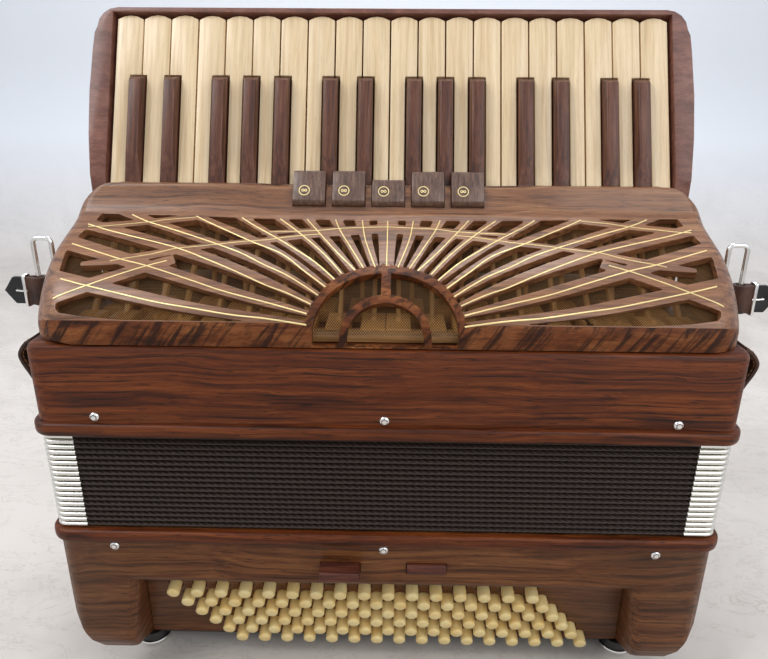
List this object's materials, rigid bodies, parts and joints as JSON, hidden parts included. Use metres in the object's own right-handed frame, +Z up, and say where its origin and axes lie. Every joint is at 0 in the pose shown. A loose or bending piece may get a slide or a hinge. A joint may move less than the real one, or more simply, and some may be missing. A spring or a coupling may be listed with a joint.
{
  "type": "piano accordion",
  "caption": "Piano accordion in walnut with maple keys, a fretted sunburst grille, registers, closed bellows and a stepped bass button board, standing on its bass feet.",
  "frame": {"origin": "centre of the bounding box in plan, on the surface that the bass feet stand on", "axes": "+Z up along the bellows, from the bass end to the treble end; +X along the keyboard, towards the low notes; -Y towards the grille and the bass buttons, the side that faces the listener"},
  "size_m": [0.512, 0.201, 0.4558],
  "materials": {
    "walnut": "satin lacquered walnut",
    "cheek_wood": "satin lacquered walnut",
    "register_wood": "satin lacquered dark wood",
    "maple": "satin lacquered pale maple",
    "dark_key_wood": "satin lacquered dark wood",
    "button_plastic": "semi-gloss ivory",
    "chrome": "polished",
    "steel": "plain",
    "black_plate": "matte",
    "leather": "semi-matte",
    "bellows_cloth": "embossed leatherette",
    "grille_gauze": "fine woven gauze"
  },
  "bodies": {
    "bass_half": {"bass_case": "walnut", "bass_button_board": "walnut", "bass_bottom_plate": "black_plate", "bass_hand_strap": "leather", "bellows": "bellows_cloth"},
    "bass_notes": {"bass_note_buttons": "button_plastic"},
    "chords": {"chord_buttons": "button_plastic"},
    "bass_reg_1": {"bass_register_1": "register_wood"},
    "bass_reg_2": {"bass_register_2": "register_wood"},
    "air_valve": {"air_button": "chrome"},
    "closing_left": {"closing_strap_left": "leather"},
    "closing_right": {"closing_strap_right": "leather"},
    "treble_half": {"treble_case": "walnut", "treble_cover": "walnut", "grille_mesh": "grille_gauze", "keyboard_frame": "cheek_wood", "key_axle": "steel"},
    "register_1": {"treble_register_1": "register_wood"},
    "register_2": {"treble_register_2": "register_wood"},
    "register_3": {"treble_register_3": "register_wood"},
    "register_4": {"treble_register_4": "register_wood"},
    "register_5": {"treble_register_5": "register_wood"},
    "ring_left": {"strap_ring_left": "chrome"},
    "tail_left": {"strap_end_left": "leather"},
    "ring_right": {"strap_ring_right": "chrome"},
    "tail_right": {"strap_end_right": "leather"},
    "white_01": {"white_key_01": "maple"},
    "white_02": {"white_key_02": "maple"},
    "white_03": {"white_key_03": "maple"},
    "white_04": {"white_key_04": "maple"},
    "white_05": {"white_key_05": "maple"},
    "white_06": {"white_key_06": "maple"},
    "white_07": {"white_key_07": "maple"},
    "white_08": {"white_key_08": "maple"},
    "white_09": {"white_key_09": "maple"},
    "white_10": {"white_key_10": "maple"},
    "white_11": {"white_key_11": "maple"},
    "white_12": {"white_key_12": "maple"},
    "white_13": {"white_key_13": "maple"},
    "white_14": {"white_key_14": "maple"},
    "white_15": {"white_key_15": "maple"},
    "white_16": {"white_key_16": "maple"},
    "white_17": {"white_key_17": "maple"},
    "white_18": {"white_key_18": "maple"},
    "white_19": {"white_key_19": "maple"},
    "white_20": {"white_key_20": "maple"},
    "black_01": {"black_key_01": "dark_key_wood"},
    "black_02": {"black_key_02": "dark_key_wood"},
    "black_03": {"black_key_03": "dark_key_wood"},
    "black_04": {"black_key_04": "dark_key_wood"},
    "black_05": {"black_key_05": "dark_key_wood"},
    "black_06": {"black_key_06": "dark_key_wood"},
    "black_07": {"black_key_07": "dark_key_wood"},
    "black_08": {"black_key_08": "dark_key_wood"},
    "black_09": {"black_key_09": "dark_key_wood"},
    "black_10": {"black_key_10": "dark_key_wood"},
    "black_11": {"black_key_11": "dark_key_wood"},
    "black_12": {"black_key_12": "dark_key_wood"},
    "black_13": {"black_key_13": "dark_key_wood"},
    "black_14": {"black_key_14": "dark_key_wood"}
  },
  "joints": [
    {"name": "bellows_draw", "type": "slide", "parent": "bass_half", "child": "treble_half", "axis": [0, 0, 1], "range_m": [0, 0.3], "deforming": ["bellows"]},
    {"name": "treble_register_1_press", "type": "slide", "parent": "treble_half", "child": "register_1", "axis": [0, -0.4067, -0.9135], "range_m": [0, 0.006], "stiffness_N_per_m": 150, "springref_m": -0.004},
    {"name": "treble_register_2_press", "type": "slide", "parent": "treble_half", "child": "register_2", "axis": [0, -0.4067, -0.9135], "range_m": [0, 0.006], "stiffness_N_per_m": 150, "springref_m": -0.004},
    {"name": "treble_register_3_release", "type": "slide", "parent": "treble_half", "child": "register_3", "axis": [0, -0.4067, -0.9135], "range_m": [-0.006, 0]},
    {"name": "treble_register_4_press", "type": "slide", "parent": "treble_half", "child": "register_4", "axis": [0, -0.4067, -0.9135], "range_m": [0, 0.006], "stiffness_N_per_m": 150, "springref_m": -0.004},
    {"name": "treble_register_5_press", "type": "slide", "parent": "treble_half", "child": "register_5", "axis": [0, -0.4067, -0.9135], "range_m": [0, 0.006], "stiffness_N_per_m": 150, "springref_m": -0.004},
    {"name": "bass_register_1_press", "type": "slide", "parent": "bass_half", "child": "bass_reg_1", "axis": [0, 1, 0], "range_m": [0, 0.009], "stiffness_N_per_m": 150, "springref_m": -0.004},
    {"name": "bass_register_2_release", "type": "slide", "parent": "bass_half", "child": "bass_reg_2", "axis": [0, 1, 0], "range_m": [-0.009, 0]},
    {"name": "bass_notes_press", "type": "slide", "parent": "bass_half", "child": "bass_notes", "axis": [0, 0.9659, 0.2588], "range_m": [0, 0.0035], "stiffness_N_per_m": 600, "springref_m": -0.003},
    {"name": "chords_press", "type": "slide", "parent": "bass_half", "child": "chords", "axis": [0, 0.9659, 0.2588], "range_m": [0, 0.0035], "stiffness_N_per_m": 900, "springref_m": -0.003},
    {"name": "air_button_press", "type": "slide", "parent": "bass_half", "child": "air_valve", "axis": [0, 0, 1], "range_m": [0, 0.006], "stiffness_N_per_m": 300, "springref_m": -0.004},
    {"name": "closing_strap_left_swing", "type": "hinge", "parent": "bass_half", "child": "closing_left", "pos_m": [-0.2193, -0.0555, 0.0995], "axis": [0, -1, 0], "range_deg": [0, 80]},
    {"name": "closing_strap_right_swing", "type": "hinge", "parent": "bass_half", "child": "closing_right", "pos_m": [0.2193, -0.0555, 0.0995], "axis": [0, 1, 0], "range_deg": [0, 80]},
    {"name": "strap_ring_left_swing", "type": "hinge", "parent": "treble_half", "child": "ring_left", "pos_m": [-0.22, -0.0255, 0.284], "axis": [0, 0, 1], "range_deg": [-50, 50]},
    {"name": "strap_end_left_swing", "type": "hinge", "parent": "ring_left", "child": "tail_left", "pos_m": [-0.232, -0.0255, 0.273], "axis": [0, 0, 1], "range_deg": [-60, 60]},
    {"name": "strap_ring_right_swing", "type": "hinge", "parent": "treble_half", "child": "ring_right", "pos_m": [0.22, -0.0255, 0.284], "axis": [0, 0, 1], "range_deg": [-50, 50]},
    {"name": "strap_end_right_swing", "type": "hinge", "parent": "ring_right", "child": "tail_right", "pos_m": [0.232, -0.0255, 0.273], "axis": [0, 0, 1], "range_deg": [-60, 60]},
    {"name": "white_key_01_dip", "type": "hinge", "parent": "treble_half", "child": "white_01", "pos_m": [-0.18525, 0.01568, 0.31611], "axis": [-1, 0, 0], "range_deg": [0, 2], "stiffness_Nm_per_rad": 0.5, "springref_deg": -11.46},
    {"name": "white_key_02_dip", "type": "hinge", "parent": "treble_half", "child": "white_02", "pos_m": [-0.16575, 0.01568, 0.31611], "axis": [-1, 0, 0], "range_deg": [0, 2], "stiffness_Nm_per_rad": 0.5, "springref_deg": -11.46},
    {"name": "white_key_03_dip", "type": "hinge", "parent": "treble_half", "child": "white_03", "pos_m": [-0.14625, 0.01568, 0.31611], "axis": [-1, 0, 0], "range_deg": [0, 2], "stiffness_Nm_per_rad": 0.5, "springref_deg": -11.46},
    {"name": "white_key_04_dip", "type": "hinge", "parent": "treble_half", "child": "white_04", "pos_m": [-0.12675, 0.01568, 0.31611], "axis": [-1, 0, 0], "range_deg": [0, 2], "stiffness_Nm_per_rad": 0.5, "springref_deg": -11.46},
    {"name": "white_key_05_dip", "type": "hinge", "parent": "treble_half", "child": "white_05", "pos_m": [-0.10725, 0.01568, 0.31611], "axis": [-1, 0, 0], "range_deg": [0, 2], "stiffness_Nm_per_rad": 0.5, "springref_deg": -11.46},
    {"name": "white_key_06_dip", "type": "hinge", "parent": "treble_half", "child": "white_06", "pos_m": [-0.08775, 0.01568, 0.31611], "axis": [-1, 0, 0], "range_deg": [0, 2], "stiffness_Nm_per_rad": 0.5, "springref_deg": -11.46},
    {"name": "white_key_07_dip", "type": "hinge", "parent": "treble_half", "child": "white_07", "pos_m": [-0.06825, 0.01568, 0.31611], "axis": [-1, 0, 0], "range_deg": [0, 2], "stiffness_Nm_per_rad": 0.5, "springref_deg": -11.46},
    {"name": "white_key_08_dip", "type": "hinge", "parent": "treble_half", "child": "white_08", "pos_m": [-0.04875, 0.01568, 0.31611], "axis": [-1, 0, 0], "range_deg": [0, 2], "stiffness_Nm_per_rad": 0.5, "springref_deg": -11.46},
    {"name": "white_key_09_dip", "type": "hinge", "parent": "treble_half", "child": "white_09", "pos_m": [-0.02925, 0.01568, 0.31611], "axis": [-1, 0, 0], "range_deg": [0, 2], "stiffness_Nm_per_rad": 0.5, "springref_deg": -11.46},
    {"name": "white_key_10_dip", "type": "hinge", "parent": "treble_half", "child": "white_10", "pos_m": [-0.00975, 0.01568, 0.31611], "axis": [-1, 0, 0], "range_deg": [0, 2], "stiffness_Nm_per_rad": 0.5, "springref_deg": -11.46},
    {"name": "white_key_11_dip", "type": "hinge", "parent": "treble_half", "child": "white_11", "pos_m": [0.00975, 0.01568, 0.31611], "axis": [-1, 0, 0], "range_deg": [0, 2], "stiffness_Nm_per_rad": 0.5, "springref_deg": -11.46},
    {"name": "white_key_12_dip", "type": "hinge", "parent": "treble_half", "child": "white_12", "pos_m": [0.02925, 0.01568, 0.31611], "axis": [-1, 0, 0], "range_deg": [0, 2], "stiffness_Nm_per_rad": 0.5, "springref_deg": -11.46},
    {"name": "white_key_13_dip", "type": "hinge", "parent": "treble_half", "child": "white_13", "pos_m": [0.04875, 0.01568, 0.31611], "axis": [-1, 0, 0], "range_deg": [0, 2], "stiffness_Nm_per_rad": 0.5, "springref_deg": -11.46},
    {"name": "white_key_14_dip", "type": "hinge", "parent": "treble_half", "child": "white_14", "pos_m": [0.06825, 0.01568, 0.31611], "axis": [-1, 0, 0], "range_deg": [0, 2], "stiffness_Nm_per_rad": 0.5, "springref_deg": -11.46},
    {"name": "white_key_15_dip", "type": "hinge", "parent": "treble_half", "child": "white_15", "pos_m": [0.08775, 0.01568, 0.31611], "axis": [-1, 0, 0], "range_deg": [0, 2], "stiffness_Nm_per_rad": 0.5, "springref_deg": -11.46},
    {"name": "white_key_16_dip", "type": "hinge", "parent": "treble_half", "child": "white_16", "pos_m": [0.10725, 0.01568, 0.31611], "axis": [-1, 0, 0], "range_deg": [0, 2], "stiffness_Nm_per_rad": 0.5, "springref_deg": -11.46},
    {"name": "white_key_17_dip", "type": "hinge", "parent": "treble_half", "child": "white_17", "pos_m": [0.12675, 0.01568, 0.31611], "axis": [-1, 0, 0], "range_deg": [0, 2], "stiffness_Nm_per_rad": 0.5, "springref_deg": -11.46},
    {"name": "white_key_18_dip", "type": "hinge", "parent": "treble_half", "child": "white_18", "pos_m": [0.14625, 0.01568, 0.31611], "axis": [-1, 0, 0], "range_deg": [0, 2], "stiffness_Nm_per_rad": 0.5, "springref_deg": -11.46},
    {"name": "white_key_19_dip", "type": "hinge", "parent": "treble_half", "child": "white_19", "pos_m": [0.16575, 0.01568, 0.31611], "axis": [-1, 0, 0], "range_deg": [0, 2], "stiffness_Nm_per_rad": 0.5, "springref_deg": -11.46},
    {"name": "white_key_20_dip", "type": "hinge", "parent": "treble_half", "child": "white_20", "pos_m": [0.18525, 0.01568, 0.31611], "axis": [-1, 0, 0], "range_deg": [0, 2], "stiffness_Nm_per_rad": 0.5, "springref_deg": -11.46},
    {"name": "black_key_01_dip", "type": "hinge", "parent": "treble_half", "child": "black_01", "pos_m": [-0.178, 0.01568, 0.31611], "axis": [-1, 0, 0], "range_deg": [0, 2], "stiffness_Nm_per_rad": 0.5, "springref_deg": -11.46},
    {"name": "black_key_02_dip", "type": "hinge", "parent": "treble_half", "child": "black_02", "pos_m": [-0.1535, 0.01568, 0.31611], "axis": [-1, 0, 0], "range_deg": [0, 2], "stiffness_Nm_per_rad": 0.5, "springref_deg": -11.46},
    {"name": "black_key_03_dip", "type": "hinge", "parent": "treble_half", "child": "black_03", "pos_m": [-0.1195, 0.01568, 0.31611], "axis": [-1, 0, 0], "range_deg": [0, 2], "stiffness_Nm_per_rad": 0.5, "springref_deg": -11.46},
    {"name": "black_key_04_dip", "type": "hinge", "parent": "treble_half", "child": "black_04", "pos_m": [-0.0975, 0.01568, 0.31611], "axis": [-1, 0, 0], "range_deg": [0, 2], "stiffness_Nm_per_rad": 0.5, "springref_deg": -11.46},
    {"name": "black_key_05_dip", "type": "hinge", "parent": "treble_half", "child": "black_05", "pos_m": [-0.0755, 0.01568, 0.31611], "axis": [-1, 0, 0], "range_deg": [0, 2], "stiffness_Nm_per_rad": 0.5, "springref_deg": -11.46},
    {"name": "black_key_06_dip", "type": "hinge", "parent": "treble_half", "child": "black_06", "pos_m": [-0.0415, 0.01568, 0.31611], "axis": [-1, 0, 0], "range_deg": [0, 2], "stiffness_Nm_per_rad": 0.5, "springref_deg": -11.46},
    {"name": "black_key_07_dip", "type": "hinge", "parent": "treble_half", "child": "black_07", "pos_m": [-0.017, 0.01568, 0.31611], "axis": [-1, 0, 0], "range_deg": [0, 2], "stiffness_Nm_per_rad": 0.5, "springref_deg": -11.46},
    {"name": "black_key_08_dip", "type": "hinge", "parent": "treble_half", "child": "black_08", "pos_m": [0.017, 0.01568, 0.31611], "axis": [-1, 0, 0], "range_deg": [0, 2], "stiffness_Nm_per_rad": 0.5, "springref_deg": -11.46},
    {"name": "black_key_09_dip", "type": "hinge", "parent": "treble_half", "child": "black_09", "pos_m": [0.039, 0.01568, 0.31611], "axis": [-1, 0, 0], "range_deg": [0, 2], "stiffness_Nm_per_rad": 0.5, "springref_deg": -11.46},
    {"name": "black_key_10_dip", "type": "hinge", "parent": "treble_half", "child": "black_10", "pos_m": [0.061, 0.01568, 0.31611], "axis": [-1, 0, 0], "range_deg": [0, 2], "stiffness_Nm_per_rad": 0.5, "springref_deg": -11.46},
    {"name": "black_key_11_dip", "type": "hinge", "parent": "treble_half", "child": "black_11", "pos_m": [0.095, 0.01568, 0.31611], "axis": [-1, 0, 0], "range_deg": [0, 2], "stiffness_Nm_per_rad": 0.5, "springref_deg": -11.46},
    {"name": "black_key_12_dip", "type": "hinge", "parent": "treble_half", "child": "black_12", "pos_m": [0.1195, 0.01568, 0.31611], "axis": [-1, 0, 0], "range_deg": [0, 2], "stiffness_Nm_per_rad": 0.5, "springref_deg": -11.46},
    {"name": "black_key_13_dip", "type": "hinge", "parent": "treble_half", "child": "black_13", "pos_m": [0.1535, 0.01568, 0.31611], "axis": [-1, 0, 0], "range_deg": [0, 2], "stiffness_Nm_per_rad": 0.5, "springref_deg": -11.46},
    {"name": "black_key_14_dip", "type": "hinge", "parent": "treble_half", "child": "black_14", "pos_m": [0.1755, 0.01568, 0.31611], "axis": [-1, 0, 0], "range_deg": [0, 2], "stiffness_Nm_per_rad": 0.5, "springref_deg": -11.46}
  ]
}
